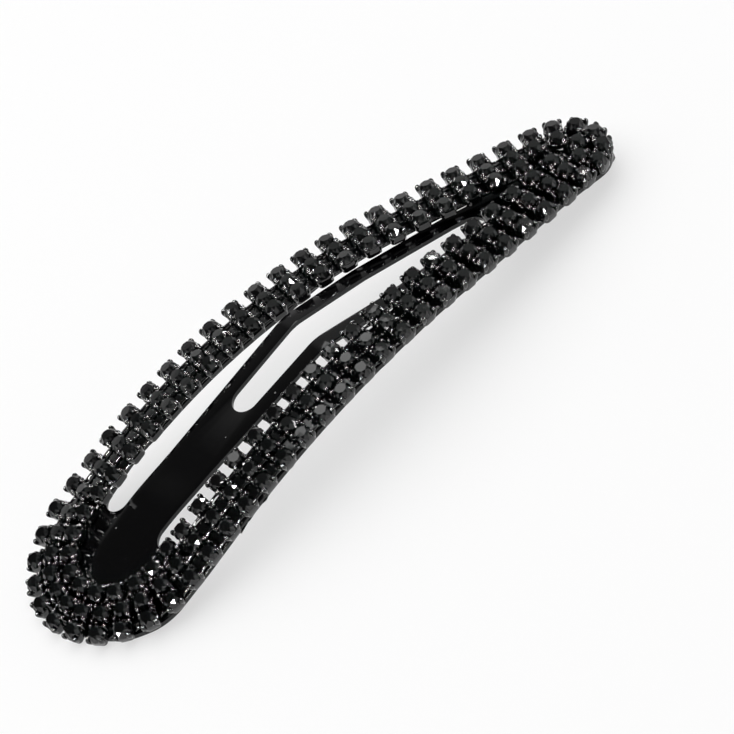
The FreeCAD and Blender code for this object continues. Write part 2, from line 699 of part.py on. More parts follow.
# name, rows counted from the outside, stations and whether the row closes on itself
rows = [
    ("outer", 0, rank_stations, True),
    ("middle", 1, middle_nose[nose_half:] + rank_stations[first_rank:last_rank + 1]
     + middle_nose[:nose_half], True),
    ("inner", 2, rank_stations[first_rank:last_left + 1] + inner_tail
     + rank_stations[first_right:last_rank + 2], False),
]


def zone_of(station):
    """Part of the loop: nose arc, tail arc with its shoulders, or one of the long sides."""
    x, y, _ = station
    if x <= shoulder:
        return "tail"
    if x >= nose_centre + nose_radius * math.cos(side_turn):
        return "nose"
    return "left" if y > 0 else "right"


def seat_frame(row, station):
    """Table point, along, normal of one cup."""
    point = row_point(row, station)
    normal = surface_normal(point.x, point.y)
    along = FreeCAD.Vector(-math.sin(station[2]), math.cos(station[2]), 0)
    along = (along - normal * along.dot(normal)).normalize()
    return point, along, normal


def set_copy(shape, point, along, normal, depth):
    """Copy of a solid whose own Z = 0 lies depth below the table point."""
    copy = shape.copy()
    turn_to = FreeCAD.Rotation(along, normal.cross(along), normal, "ZXY")
    copy.Placement = FreeCAD.Placement(point - normal * depth, turn_to)
    return copy


def link_end(chord, along):
    """Length of a strap's axis that a cup takes up, where the axis leaves it at a slant."""
    slant = min(abs(chord.dot(along)), 1.0)
    spread = (size("link_width") / 2 + size("link_thickness")) * math.sqrt(1 - slant ** 2)
    return (cup_width / 2 + spread) / slant + size("link_gap")


def link_between(first, second):
    """Ridged strap between two neighbouring cups of a row, or None where the cups nearly touch."""
    (point_a, along_a, normal_a), (point_b, along_b, normal_b) = first, second
    depth = stack - size("solder_gap") - size("link_rise")
    start = point_a - normal_a * depth
    chord = point_b - normal_b * depth - start
    gap = chord.Length
    chord.normalize()
    start += chord * link_end(chord, along_a)
    length = gap - link_end(chord, along_a) - link_end(chord, along_b)
    if length < size("link_shortest"):
        return None
    normal = normal_a + normal_b
    normal = (normal - chord * normal.dot(chord)).normalize()
    across = normal.cross(chord)
    edge = across * (size("link_width") / 2)
    ridge = start + normal * size("link_thickness")
    section_wire = Part.makePolygon([start - edge, start + edge, ridge, start - edge])
    return Part.Face(section_wire).extrude(chord * length)


groups = {}
cup_depth = stack - size("solder_gap")
for row_name, row, stations, closed in rows:
    seats = [seat_frame(row, station) for station in stations]
    for station, seat in zip(stations, seats):
        zone = zone_of(station)
        groups.setdefault(f"cups_{row_name}_{zone}", []).append(set_copy(cup.Shape, *seat, cup_depth))
        groups.setdefault(f"stones_{row_name}_{zone}", []).append(
            set_copy(stone.Shape, *seat, size("stone_height")))
    following = seats[1:] + ([seats[0]] if closed else [])
    for station, seat, next_seat in zip(stations, seats, following):
        strap = link_between(seat, next_seat)
        if strap:
            zone = zone_of(station)
            groups.setdefault(f"links_{row_name}_{zone}", []).append(strap)

nodes = {"spring_frame": frame, "spring_tongue": tongue}
for name, solids in groups.items():
    node = doc.addObject("Part::Feature", name)
    node.Label = name
    node.Shape = Part.makeCompound(solids)
    nodes[name] = node

# one placement for all: origin at the bottom centre of the clip
cups_box = FreeCAD.BoundBox()
for name, node in nodes.items():
    cups_box.add(node.Shape.optimalBoundingBox(False))
to_origin = FreeCAD.Placement(
    FreeCAD.Vector(-cups_box.Center.x, 0, -cups_box.ZMin), FreeCAD.Rotation())
for node in nodes.values():
    node.Placement = to_origin
doc.recompute()

for obj in doc.Objects:
    if "Invalid" in obj.State or "Error" in obj.State:
        raise RuntimeError(f"{obj.Label}: {obj.State}")
os.makedirs("parts", exist_ok=True)
for name, node in nodes.items():
    if node.Shape.isNull() or not node.Shape.isValid():
        raise RuntimeError(f"{name}: bad shape")
    node.Shape.exportStep(f"parts/{name}.step")
    print(f"{name}: {len(node.Shape.Solids)} solids")
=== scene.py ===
import math
import random

import bmesh
import bpy
import numpy as np
from mathutils import Matrix, Quaternion, Vector


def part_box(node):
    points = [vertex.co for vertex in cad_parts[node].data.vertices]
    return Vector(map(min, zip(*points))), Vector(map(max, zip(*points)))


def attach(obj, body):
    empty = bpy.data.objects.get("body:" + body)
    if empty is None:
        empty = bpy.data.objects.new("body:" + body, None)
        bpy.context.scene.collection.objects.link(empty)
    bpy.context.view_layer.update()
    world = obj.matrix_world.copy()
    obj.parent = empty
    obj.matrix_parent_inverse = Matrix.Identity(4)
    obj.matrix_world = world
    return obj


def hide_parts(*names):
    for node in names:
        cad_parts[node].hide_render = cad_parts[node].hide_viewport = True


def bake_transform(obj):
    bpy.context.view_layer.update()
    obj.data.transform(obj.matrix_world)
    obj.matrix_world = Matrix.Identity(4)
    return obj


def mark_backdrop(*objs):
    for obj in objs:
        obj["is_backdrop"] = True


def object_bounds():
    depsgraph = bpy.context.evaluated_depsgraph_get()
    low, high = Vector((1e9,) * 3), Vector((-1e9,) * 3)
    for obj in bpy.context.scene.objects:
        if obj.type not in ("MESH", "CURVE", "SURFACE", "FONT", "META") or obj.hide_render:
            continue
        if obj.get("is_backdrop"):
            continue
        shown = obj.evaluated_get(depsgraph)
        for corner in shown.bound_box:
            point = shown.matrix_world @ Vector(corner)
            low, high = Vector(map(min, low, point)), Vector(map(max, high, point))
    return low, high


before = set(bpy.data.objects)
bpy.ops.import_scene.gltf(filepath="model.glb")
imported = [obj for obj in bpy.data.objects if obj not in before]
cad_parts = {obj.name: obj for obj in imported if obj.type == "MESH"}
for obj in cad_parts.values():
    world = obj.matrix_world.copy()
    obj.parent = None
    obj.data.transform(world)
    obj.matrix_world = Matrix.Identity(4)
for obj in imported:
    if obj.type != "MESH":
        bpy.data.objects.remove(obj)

# Snap hair clip: black enamelled spring sheet with three rows of claw-set jet rhinestones.
# All pieces stand where the CAD solids stand: every cup, stone and strap takes its place, its
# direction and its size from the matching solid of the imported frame.  Lengths below are in mm.

MM = 0.001
rng = random.Random(11)
START_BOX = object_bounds()
TONGUE_LOW, TONGUE_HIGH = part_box("spring_tongue")
ROOT_X = TONGUE_LOW.x      # the line where the tongue leaves the tail plate, in metres


# ---------------------------------------------------------------------------------------------
# Reading the CAD solids
# ---------------------------------------------------------------------------------------------

POINT_DECIMALS = 4         # corners that agree to this many decimals of a mm are one point
SMALLEST_FACE = 1e-7       # square mm
SAME_NORMAL = 0.9995       # cosine between the normals of triangles of one flat face
SIDE_COSINE = 0.9          # below this cosine between its normal and up, a face is a side


def solids_of(node):
    """Corner points (mm) and triangles of every separate solid of a CAD node."""
    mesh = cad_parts[node].data
    index_of = {}
    corner = []
    for vertex in mesh.vertices:
        key = tuple(round(c / MM, POINT_DECIMALS) for c in vertex.co)
        corner.append(index_of.setdefault(key, len(index_of)))
    points = np.array(list(index_of))
    owner = list(range(len(points)))

    def root(i):
        while owner[i] != i:
            owner[i] = owner[owner[i]]
            i = owner[i]
        return i

    triangles = [[corner[v] for v in face.vertices] for face in mesh.polygons]
    for triangle in triangles:
        for other in triangle[1:]:
            owner[root(other)] = root(triangle[0])
    parts = {}
    for triangle in triangles:
        parts.setdefault(root(triangle[0]), []).append(triangle)
    return points, list(parts.values())


def flat_faces(points, triangles):
    """Flat faces of a solid, largest first: (area, normal, corner numbers)."""
    faces = []
    for triangle in triangles:
        a, b, c = points[triangle]
        normal = np.cross(b - a, c - a)
        area = np.linalg.norm(normal) / 2
        if area < SMALLEST_FACE:
            continue
        normal = normal / (2 * area)
        for face in faces:
            if np.dot(face[1], normal) > SAME_NORMAL:
                face[0] += area
                face[2].update(triangle)
                break
        else:
            faces.append([area, normal, set(triangle)])
    return sorted(faces, key=lambda face: -face[0])


def seat_of(points, triangles):
    """4x4 matrix of a cup or stone: origin in the middle of its base, Z away from it, X to a side."""
    faces = flat_faces(points, triangles)
    up = -faces[0][1]
    centre = points[list(faces[0][2])].mean(axis=0)
    side = next(f[1] for f in faces[1:] if abs(np.dot(f[1], up)) < SIDE_COSINE)
    x_axis = side - up * np.dot(side, up)
    x_axis /= np.linalg.norm(x_axis)
    seat = np.eye(4)
    seat[:3, 0], seat[:3, 1], seat[:3, 2], seat[:3, 3] = x_axis, np.cross(up, x_axis), up, centre
    return seat


def strap_of(points, triangles):
    """Start, end and up direction of a link strap, whose ends are its three-cornered faces."""
    faces = flat_faces(points, triangles)
    ends = [f for f in faces if len(f[2]) == 3]
    base = next(f for f in faces if len(f[2]) == 4)
    middles = [points[list(f[2])].mean(axis=0) for f in ends[:2]]
    level = points[list(base[2])].mean(axis=0)
    up = -base[1]
    start, end = [m - up * np.dot(m - level, up) for m in middles]
    return start, end, up


# ---------------------------------------------------------------------------------------------
# Building joined meshes from templates
# ---------------------------------------------------------------------------------------------

def show(name, data):
    """Object of a mesh, a lamp or a camera, put in the scene."""
    made = bpy.data.objects.new(name, data)
    bpy.context.scene.collection.objects.link(made)
    return made


class Batch:
    """Points and faces of many small pieces that become one object."""

    def __init__(self):
        self.points, self.faces, self.smooth, self.tone = [], [], [], []

    def add(self, template, matrix=None):
        """Copy of a template (points, faces, smooth or not) in one random tone."""
        points, faces, smooth = template
        points = np.asarray(points, float)
        if matrix is not None:
            points = points @ matrix[:3, :3].T + matrix[:3, 3]
        first = len(self.points)
        self.points.extend(points.tolist())
        self.faces.extend([[first + i for i in face] for face in faces])
        self.smooth.extend([smooth] * len(faces))
        self.tone.extend([rng.random()] * len(points))

    def make(self, name, material):
        """The joined object; claws that lean outwards are kept inside the clip's own box."""
        mesh = bpy.data.meshes.new(name)
        points = np.clip(np.array(self.points) * MM, list(START_BOX[0]), list(START_BOX[1]))
        mesh.from_pydata(points.tolist(), [], self.faces)
        mesh.polygons.foreach_set("use_smooth", self.smooth)
        tone = mesh.attributes.new("tone", "FLOAT", "POINT")
        tone.data.foreach_set("value", self.tone)
        mesh.materials.append(material)
        mesh.update()
        return show(name, mesh)


def grid_faces(rows, columns, closed=False, first=0, flip=False):
    """Quads between rows of points; closed joins the last column to the first."""
    faces = []
    for r in range(rows - 1):
        for c in range(columns if closed else columns - 1):
            d = (c + 1) % columns
            quad = [first + r * columns + c, first + r * columns + d,
                    first + (r + 1) * columns + d, first + (r + 1) * columns + c]
            faces.append(quad[::-1] if flip else quad)
    return faces


# ---------------------------------------------------------------------------------------------
# Cup with four claws
# ---------------------------------------------------------------------------------------------

CUP_AROUND = 32
CUP_HALF = 1.06            # half the width across the walls
CORNER_RADIUS = 0.5
CORNER_CENTRE = CUP_HALF - CORNER_RADIUS
# profile of the wall: height, width share; the last two rings are the inside of the rim
CUP_RINGS = [(0.0, 0.78), (0.04, 0.87), (0.18, 0.91), (0.5, 0.93), (0.96, 0.985), (1.03, 0.97),
             (1.02, 0.89), (0.8, 0.86)]
RIM_START = 0.9            # rings above this height rise towards the corners
RIM_LIFT = 0.16            # how much higher the rim stands at the corners
# claw, from the rim up and over: height, distance from the corner's centre, share of its width
CLAW_PATH = [(0.45, 0.46, 0.8), (0.76, 0.55, 0.9), (1.02, 0.64, 0.92), (1.24, 0.69, 0.88),
             (1.42, 0.64, 0.8), (1.54, 0.51, 0.68), (1.6, 0.36, 0.52), (1.57, 0.22, 0.3)]
CLAW_ACROSS = 7
CLAW_THICK = 0.24
CLAW_ROUND = 0.2           # how far the sides of a claw fall back from its middle
CLAW_EDGE_DROP = 0.05      # how much lower its sides lie outside
CLAW_INSIDE_DROP = 0.02
CLAW_OVER = 1.1            # above this height a claw leans in or out by its own bend
BEND_RISE = 0.5            # share of the bend that goes into height
CLAW_TIP = 1.4             # above this height the thickness lies downwards as well
TIP_THICK_SHARE = 0.6
CLAW_BENDS = (-0.12, 0.25)
CLAW_TURNS = (-0.07, 0.07)  # radians
CUP_KINDS = 8              # cups with claws of their own, picked at random


def wall_reach(angle):
    """Distance from the middle of a rounded square of half width 1 to its edge."""
    a = angle % (math.pi / 2)
    a = min(a, math.pi / 2 - a)
    centre, radius = CORNER_CENTRE / CUP_HALF, CORNER_RADIUS / CUP_HALF
    if math.tan(a) <= centre:
        return 1 / math.cos(a)
    lean = math.cos(a) + math.sin(a)
    return centre * lean + math.sqrt(radius ** 2 - centre ** 2 * (1 - math.sin(2 * a)))


def cup_body():
    """Square bowl, from the edge of its base up and over the rim."""
    points = []
    for height, share in CUP_RINGS:
        for k in range(CUP_AROUND):
            angle = 2 * math.pi * k / CUP_AROUND
            reach = CUP_HALF * share * wall_reach(angle)
            lift = RIM_LIFT * math.sin(2 * angle) ** 2 if height > RIM_START else 0.0
            points.append((reach * math.cos(angle), reach * math.sin(angle), height + lift))
    faces = grid_faces(len(CUP_RINGS), CUP_AROUND, closed=True)
    faces.append(list(range(CUP_AROUND))[::-1])
    last = (len(CUP_RINGS) - 1) * CUP_AROUND
    faces.append([last + k for k in range(CUP_AROUND)])
    return points, faces


def claw(quarter, bend, turn):
    """Tab that carries on the cup's rounded corner and curls over the stone."""
    outer, inner = [], []
    middle = math.pi / 4 + turn
    for height, reach, width in CLAW_PATH:
        over = max(0.0, height - CLAW_OVER)
        lift = height + bend * over * BEND_RISE
        tip_drop = CLAW_THICK * TIP_THICK_SHARE if height > CLAW_TIP else 0.0
        for i in range(CLAW_ACROSS):
            u = 2 * i / (CLAW_ACROSS - 1) - 1
            angle = middle + u * width * math.pi / 4
            outside = (reach * (1 - CLAW_ROUND * u * u), lift - CLAW_EDGE_DROP * u * u)
            inside = (reach - CLAW_THICK, lift - CLAW_INSIDE_DROP - tip_drop)
            for side, (r, z) in ((outer, outside), (inner, inside)):
                r -= bend * over
                x = CORNER_CENTRE + r * math.cos(angle)
                y = CORNER_CENTRE + r * math.sin(angle)
                for _ in range(quarter):
                    x, y = -y, x
                side.append((x, y, z))
    rows, columns = len(CLAW_PATH), CLAW_ACROSS
    count = rows * columns
    faces = grid_faces(rows, columns) + grid_faces(rows, columns, first=count, flip=True)
    # the edge between outside and inside, once round: down one side, across, up, and back
    border = [r * columns for r in range(rows)][::-1]
    border += list(range(1, columns))
    border += [r * columns + columns - 1 for r in range(1, rows)]
    border += [(rows - 1) * columns + c for c in range(1, columns - 1)][::-1]
    for a, b in zip(border, border[1:] + border[:1]):
        faces.append([a, a + count, b + count, b])
    return outer + inner, faces


def cup_template():
    points, faces = cup_body()
    for quarter in range(4):
        tab_points, tab_faces = claw(quarter, rng.uniform(*CLAW_BENDS), rng.uniform(*CLAW_TURNS))
        first = len(points)
        points = points + tab_points
        faces = faces + [[first + i for i in face] for face in tab_faces]
    return points, faces, True


# ---------------------------------------------------------------------------------------------
# Stone and strap
# ---------------------------------------------------------------------------------------------

FACETS = 8
STONE_TOP = 1.84           # heights are above the base of the cup
STONE_SIT = 1.16           # upper edge of the girdle
GIRDLE_THICK = 0.08
STONE_DEPTH = 0.8          # from the upper edge of the girdle down to the point
GIRDLE = 1.1               # radius
TABLE = 0.64               # radius
TABLE_RISE = 0.004         # polishing leaves the table very slightly domed
BREAK = (0.93, 1.62)       # radius and height of the corners between the table and the girdle
STONE_TILT = 3.0           # degrees, spread of the stones' random lean

STRAP_REACH = 0.16         # how far a strap runs into the cups
STRAP_DROP = 0.1           # how much lower it lies than the solid
STRAP_HALF = 0.16          # half width in the middle
STRAP_FLARE = 0.13         # added to the half width at the ends
STRAP_BOW = 0.07
STRAP_STEPS = 8
# half round above and flat below: share of the half width, height
STRAP_SECTION = [(-1, 0.02), (-0.82, 0.10), (-0.4, 0.16), (0, 0.18), (0.4, 0.16), (0.82, 0.10),
                 (1, 0.02), (0.7, -0.08), (-0.7, -0.08)]


def stone_template():
    """Faceted stone, flat shaded: round table, crown facets with their breaks and a girdle."""
    points, faces = [], []

    def ring(count, radius, height, turn=0.0):
        first = len(points)
        for k in range(count):
            a = 2 * math.pi * (k + turn) / count
            points.append((radius * math.cos(a), radius * math.sin(a), height))
        return [first + k for k in range(count)]

    around = 2 * FACETS
    table = ring(FACETS, TABLE, STONE_TOP)
    breaks = ring(FACETS, BREAK[0], BREAK[1], 0.5)
    upper = ring(around, GIRDLE, STONE_SIT)
    lower = ring(around, GIRDLE, STONE_SIT - GIRDLE_THICK)
    bottom = len(points)
    middle = bottom + 1
    points.append((0, 0, STONE_SIT - STONE_DEPTH))
    points.append((0, 0, STONE_TOP + TABLE_RISE))
    for k in range(FACETS):
        nxt = (k + 1) % FACETS
        faces.append([table[k], table[nxt], middle])
        faces.append([table[k], breaks[k], table[nxt]])
        faces.append([table[nxt], breaks[k], upper[2 * nxt], breaks[nxt]])
        faces.append([breaks[k], upper[2 * k], upper[2 * k + 1]])
        faces.append([breaks[k], upper[2 * k + 1], upper[(2 * k + 2) % around]])
    for k in range(around):
        nxt = (k + 1) % around
        faces.append([upper[k], lower[k], lower[nxt], upper[nxt]])
        faces.append([lower[k], bottom, lower[nxt]])
    return [(x, y, z - STONE_TOP) for x, y, z in points], faces, False


def strap_template(start, end, up):
    """Thin strap between two cups, waisted in the middle and slightly bowed."""
    along = end - start
    length = np.linalg.norm(along)
    along = along / length
    across = np.cross(up, along)
    start = start - along * STRAP_REACH
    length += 2 * STRAP_REACH
    points = []
    for i in range(STRAP_STEPS + 1):
        t = i / STRAP_STEPS
        half = STRAP_HALF + STRAP_FLARE * abs(2 * t - 1) ** 3
        bow = STRAP_BOW * math.sin(math.pi * t)
        for s, h in STRAP_SECTION:
            points.append(start + along * length * t + across * s * half + up * (h + bow - STRAP_DROP))
    count = len(STRAP_SECTION)
    faces = grid_faces(STRAP_STEPS + 1, count, closed=True, flip=True)
    faces.append(list(range(count)))
    faces.append([STRAP_STEPS * count + k for k in range(count)][::-1])
    return points, faces, True


# ---------------------------------------------------------------------------------------------
# Materials
# ---------------------------------------------------------------------------------------------

class Nodes:
    """Small helper round a node tree with one output node."""

    def __init__(self, owner, output_kind):
        owner.use_nodes = True
        self.owner = owner
        self.tree = owner.node_tree
        self.tree.nodes.clear()
        self.output = self.node(output_kind)

    def node(self, kind, **values):
        made = self.tree.nodes.new(kind)
        for key, value in values.items():
            setattr(made, key, value)
        return made

    def link(self, source, target):
        self.tree.links.new(source, target)

    def noise(self, vector, scale, detail=2.0, roughness=0.5):
        made = self.node("ShaderNodeTexNoise")
        made.inputs["Scale"].default_value = scale
        made.inputs["Detail"].default_value = detail
        made.inputs["Roughness"].default_value = roughness
        self.link(vector, made.inputs["Vector"])
        return made.outputs["Fac"]

    def spread(self, value, low, high, from_low=0.3, from_high=0.7, smooth=False):
        """Value stretched from one range to another; the ends may be numbers or sockets."""
        made = self.node("ShaderNodeMapRange")
        if smooth:
            made.interpolation_type = "SMOOTHSTEP"
        ends = {"From Min": from_low, "From Max": from_high, "To Min": low, "To Max": high}
        for name, end in ends.items():
            self.put(end, made.inputs[name])
        self.link(value, made.inputs["Value"])
        return made.outputs["Result"]

    def mix(self, factor, first, second):
        """Colour between two colours."""
        made = self.node("ShaderNodeMix", data_type="RGBA")
        self.link(factor, made.inputs["Factor"])
        self.put(first, made.inputs[6])
        self.put(second, made.inputs[7])
        return made.outputs[2]

    def math(self, operation, first, second):
        made = self.node("ShaderNodeMath", operation=operation)
        self.put(first, made.inputs[0])
        self.put(second, made.inputs[1])
        return made.outputs[0]

    def bump(self, height, strength, distance):
        made = self.node("ShaderNodeBump")
        made.inputs["Strength"].default_value = strength
        made.inputs["Distance"].default_value = distance
        self.link(height, made.inputs["Height"])
        return made.outputs["Normal"]

    def put(self, value, socket):
        """Number, colour or link into a socket."""
        if isinstance(value, (int, float)):
            socket.default_value = value
        elif isinstance(value, tuple):
            socket.default_value = (*value, 1.0)
        else:
            self.link(value, socket)


def new_material(name):
    return Nodes(bpy.data.materials.new(name), "ShaderNodeOutputMaterial")


# texture scales are per metre
PATCH_SCALE = 420
PATCH_RANGE = (0.4, 1.6)   # patches and tone together, from the darker to the lighter black
GRAIN_SCALE = 2600
WAVE_DEPTH = 0.00004       # metres
TONE_ROUGHNESS = 0.03      # the dullest cup or stone is this much rougher
SPECK_SCALE = 620
SPECK_SIZE = 0.075
SPECK_PATCH_SCALE = 260
SPECK_PATCH_LIMIT = 0.56   # specks lie only where the patches are above this
SPECK_GREY = (0.06, 0.06, 0.06)
SPECK_ROUGHNESS = 0.5


def gloss_black(name, dark, light, roughness, ior, wave, wave_strength):
    """Glossy black surface with slightly uneven colour, gloss and level; roughness is (low, high)."""
    shader = new_material(name)
    surface = shader.node("ShaderNodeBsdfPrincipled")
    place = shader.node("ShaderNodeTexCoord").outputs["Object"]
    tone = shader.node("ShaderNodeAttribute", attribute_name="tone").outputs["Fac"]
    patches = shader.math("ADD", shader.noise(place, PATCH_SCALE, 3.0), tone)
    colour = shader.mix(shader.spread(patches, 0.0, 1.0, *PATCH_RANGE), dark, light)
    grain = shader.spread(shader.noise(place, GRAIN_SCALE), *roughness)
    level = shader.noise(place, wave, 1.0)
    gloss = shader.math("ADD", grain, shader.math("MULTIPLY", tone, TONE_ROUGHNESS))
    shader.link(colour, surface.inputs["Base Color"])
    shader.link(gloss, surface.inputs["Roughness"])
    shader.link(shader.bump(level, wave_strength, WAVE_DEPTH), surface.inputs["Normal"])
    surface.inputs["IOR"].default_value = ior
    shader.link(surface.outputs[0], shader.output.inputs["Surface"])
    return shader, surface


def enamel():
    """High gloss enamel on the sheet, with faint orange peel and a few specks of dust."""
    shader, surface = gloss_black("sheet_enamel", (0.0006, 0.0006, 0.0008), (0.0018, 0.0018, 0.0021),
                                  roughness=(0.05, 0.1), ior=1.5, wave=900, wave_strength=0.12)
    place = shader.node("ShaderNodeTexCoord").outputs["Object"]
    cells = shader.node("ShaderNodeTexVoronoi")
    cells.inputs["Scale"].default_value = SPECK_SCALE
    shader.link(place, cells.inputs["Vector"])
    near = shader.math("LESS_THAN", cells.outputs["Distance"], SPECK_SIZE)
    sparse = shader.math("GREATER_THAN", shader.noise(place, SPECK_PATCH_SCALE), SPECK_PATCH_LIMIT)
    speck = shader.math("MULTIPLY", near, sparse)
    base, rough = surface.inputs["Base Color"], surface.inputs["Roughness"]
    colour, gloss = base.links[0].from_socket, rough.links[0].from_socket
    shader.link(shader.mix(speck, colour, SPECK_GREY), base)
    shader.link(shader.math("ADD", gloss, shader.math("MULTIPLY", speck, SPECK_ROUGHNESS)), rough)
    return shader.owner


def jet_glass():
    """Polished opaque jet glass; the pieces differ a little in depth of black."""
    shader, _ = gloss_black("jet_stone", (0.0003, 0.0003, 0.0004), (0.0012, 0.0012, 0.0014),
                            roughness=(0.015, 0.05), ior=1.58, wave=500, wave_strength=0.05)
    return shader.owner


def plating(name, roughness):
    """Gloss black plating of the cups and straps."""
    shader, _ = gloss_black(name, (0.0004, 0.0004, 0.0005), (0.0016, 0.0016, 0.0019),
                            roughness=roughness, ior=1.65, wave=1500, wave_strength=0.2)
    return shader.owner


SHEET = enamel()
JET = jet_glass()
CUP_METAL = plating("cup_metal", (0.025, 0.06))
LINK_METAL = plating("link_metal", (0.03, 0.07))


# ---------------------------------------------------------------------------------------------
# Cup chain pieces
# ---------------------------------------------------------------------------------------------

CUPS = [cup_template() for _ in range(CUP_KINDS)]
STONE = stone_template()


def quarter_turn(seat, count):
    turn = np.eye(4)
    c, s = round(math.cos(count * math.pi / 2)), round(math.sin(count * math.pi / 2))
    turn[0, 0], turn[0, 1], turn[1, 0], turn[1, 1] = c, -s, s, c
    return seat @ turn


def tilt(seat, degrees):
    """Seat turned by small angles about its own X and Y and by any angle about Z."""
    turn = Matrix.Rotation(rng.uniform(0, 2 * math.pi), 4, "Z")
    lean_x = Matrix.Rotation(math.radians(rng.gauss(0, degrees)), 4, "X")
    lean_y = Matrix.Rotation(math.radians(rng.gauss(0, degrees)), 4, "Y")
    return seat @ np.array(lean_x @ lean_y @ turn)


def add_cup(batch, points, triangles):
    seat = quarter_turn(seat_of(points, triangles), rng.randrange(4))
    batch.add(CUPS[rng.randrange(CUP_KINDS)], seat)


def add_stone(batch, points, triangles):
    """Stone whose table lies where the solid's top face lies."""
    seat = seat_of(points, triangles)
    corners = points[sorted({i for t in triangles for i in t})]
    height = max(np.dot(p - seat[:3, 3], seat[:3, 2]) for p in corners)
    seat[:3, 3] += seat[:3, 2] * height
    batch.add(STONE, tilt(seat, STONE_TILT))


def add_strap(batch, points, triangles):
    batch.add(strap_template(*strap_of(points, triangles)))


# by the first word of a node's name: how to add one piece, its material and the material's slot
CHAIN = {"cups": (add_cup, CUP_METAL, "cup_metal"),
         "stones": (add_stone, JET, "jet_stone"),
         "links": (add_strap, LINK_METAL, "link_metal")}

for node in sorted(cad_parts):
    kind = node.split("_")[0]
    if kind not in CHAIN:
        continue
    add_piece, material, slot = CHAIN[kind]
    points, solids = solids_of(node)
    batch = Batch()
    for triangles in solids:
        add_piece(batch, points, triangles)
    piece = batch.make(f"{node}_shown", material)
    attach(piece, "frame")
    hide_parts(node)


# ---------------------------------------------------------------------------------------------
# Sheet pieces: the CAD solids with softened edges and rounded bends
# ---------------------------------------------------------------------------------------------

# how far the rim of the frame goes in under the cups (trim) or out beyond them (grow)
RIGHT_TRIM = 0.35
TAIL_TRIM = 0.55
SHOULDER_TRIM = 0.5        # more where the tail end turns into the right arm
NOSE_GROW = 0.6
INNER_GROW = 0.6           # the inner edge of the arms goes further in from the inner row
# where each of these sets in, as the X or Y with none of it and the X or Y with all of it
ARM_ALONG = (34, 30)
TAIL_ALONG = (-26, -34)
SHOULDER_ALONG = (-24, -33)
SHOULDER_SIDE = (-2, -8)
SHOULDER_ACROSS = (-12.4, -10)
NOSE_ALONG = (34, 38)
INNER_ALONG = ((-22, -17), (6, 1))
# parts of the rim: beyond these X and Y a wall can't be an inner edge or a slot
TAIL_X, TAIL_Y, TAIL_END_X = -30, 9, -36
ARM_Y, NOSE_X = 7, 37
LEAN = 0.3                 # least share of a wall's direction that counts as facing a way
WALL_RISE = 0.5            # a face whose normal rises or falls by less than this is a wall

WELD = 0.002
FLAT_ANGLE = 0.4           # degrees
SHARP_ANGLE = 28
EDGE_ANGLE = 50            # edges sharper than this get a rounded corner
EDGE_RADIUS = 0.1
EDGE_STEPS = 3
BEND_ANGLES = (10, 40)     # folds of the tongue that are rounded
BEND_SIZE = 0.9
BEND_STEPS = 5
BEND_SKEW = 0.05           # a fold's two ends lie this close along X

BLEND_LENGTH = 9.0         # the tongue is cut across into slices over this length from its root
BLEND_CUTS = 12
ACROSS_CUTS = (-2.4, -1.2, 0, 1.2, 2.4)
ROOT_LENGTH = 6.0          # over this length the tongue takes on the tail plate's shape
ROOT_HALF_WIDTH = 3.4
ROOT_NEAR = 0.1            # edges this near the root line aren't rounded
ROOT_FACE = 0.02           # points this near it lie on the tongue's end
SLOPE_CHANGE = 0.106       # the tail plate climbs this much more steeply than the tongue
PLATE_CAMBER = 0.0094      # fall of the tail plate across its width, per square mm
ROOT_OVERLAP = 0.06        # closes the slit between the tongue and the plate
ROOT_DROP = 0.018
FORK_START = (12.0, 17.5)  # from the root
FORK_HALF_WIDTH = 2.4
FORK_SHIFT = 0.9           # the fork starts this much nearer the nose
TONGUE_SLOPE = 0.1917      # rise per length at the fork


def fade(value, none, full):
    """0 at and beyond none, 1 at and beyond full, smooth between."""
    t = min(1.0, max(0.0, (value - none) / (full - none)))
    return t * t * (3 - 2 * t)


def facing(vertex):
    """Level direction that the walls at a vertex face, or None where there is no wall."""
    lean = Vector((0, 0, 0))
    for face in vertex.link_faces:
        if abs(face.normal.z) < WALL_RISE:
            lean += Vector((face.normal.x, face.normal.y, 0)) * face.calc_area()
    return lean.normalized() if lean.length >= 1e-12 else None


def rim_shift(x, y, lean):
    """How far a wall of the frame moves outwards, along the way it faces."""
    outward = lean.y if y > 0 else -lean.y
    round_tail = x < TAIL_X and (abs(y) > TAIL_Y or x < TAIL_END_X)
    along_arm = outward > LEAN and (abs(y) > ARM_Y or x > 0)
    round_nose = x > NOSE_X and lean.x > LEAN
    if round_tail or along_arm or round_nose:
        shift = 0.0 if y > 0 else -RIGHT_TRIM * fade(x, *ARM_ALONG)
        shift += (-TAIL_TRIM - shift) * fade(x, *TAIL_ALONG)
        shift -= SHOULDER_TRIM * (fade(y, *SHOULDER_SIDE) * fade(x, *SHOULDER_ALONG)
                                  * fade(y, *SHOULDER_ACROSS))
        return shift + NOSE_GROW * fade(x, *NOSE_ALONG)
    if outward < -LEAN:
        return INNER_GROW * fade(x, *INNER_ALONG[0]) * fade(x, *INNER_ALONG[1])
    return 0.0


def shift_rims(work):
    moves = {}
    for vertex in work.verts:
        lean = facing(vertex)
        if lean is not None:
            moves[vertex] = lean * rim_shift(vertex.co.x / MM, vertex.co.y / MM, lean) * MM
    for vertex, move in moves.items():
        vertex.co += move


def solid_mesh(node):
    """The CAD solid, with its triangles joined into flat faces."""
    work = bmesh.new()
    work.from_mesh(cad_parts[node].data)
    bmesh.ops.remove_doubles(work, verts=work.verts, dist=WELD * MM)
    bmesh.ops.dissolve_limit(work, angle_limit=math.radians(FLAT_ANGLE), verts=work.verts,
                             edges=work.edges)
    return work


